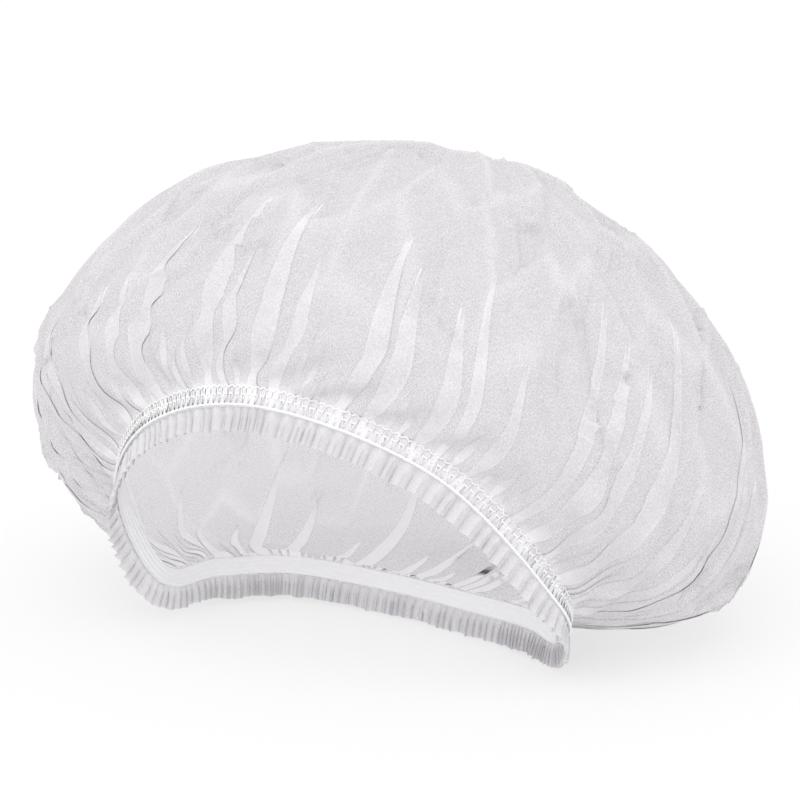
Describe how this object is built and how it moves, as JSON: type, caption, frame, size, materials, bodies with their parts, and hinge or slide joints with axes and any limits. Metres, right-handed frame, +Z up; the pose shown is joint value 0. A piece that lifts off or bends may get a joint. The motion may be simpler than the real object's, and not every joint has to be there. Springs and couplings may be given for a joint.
{
  "type": "disposable hair cover cap",
  "caption": "Puffed single-use bouffant cap of thin white nonwoven cloth, gathered onto an elastic hem with a ruffled edge, lying on its back edge with the mouth raised.",
  "frame": {"origin": "on the floor, under the middle of the cap's box as it lies", "axes": "+X along the wider side of the lying cap, -Y out of the raised mouth, +Z up from the floor"},
  "size_m": [0.2672, 0.2305, 0.1668],
  "materials": {
    "nonwoven_cloth": "soft, slightly see-through white nonwoven cloth with a fibrous grain",
    "white_elastic": "flat white knitted elastic, matte",
    "frill_cloth": "gathered white nonwoven edge with white overlock thread"
  },
  "bodies": {
    "root": {"crown": "nonwoven_cloth", "elastic_band": "white_elastic", "hem_frill": "frill_cloth"}
  },
  "joints": []
}
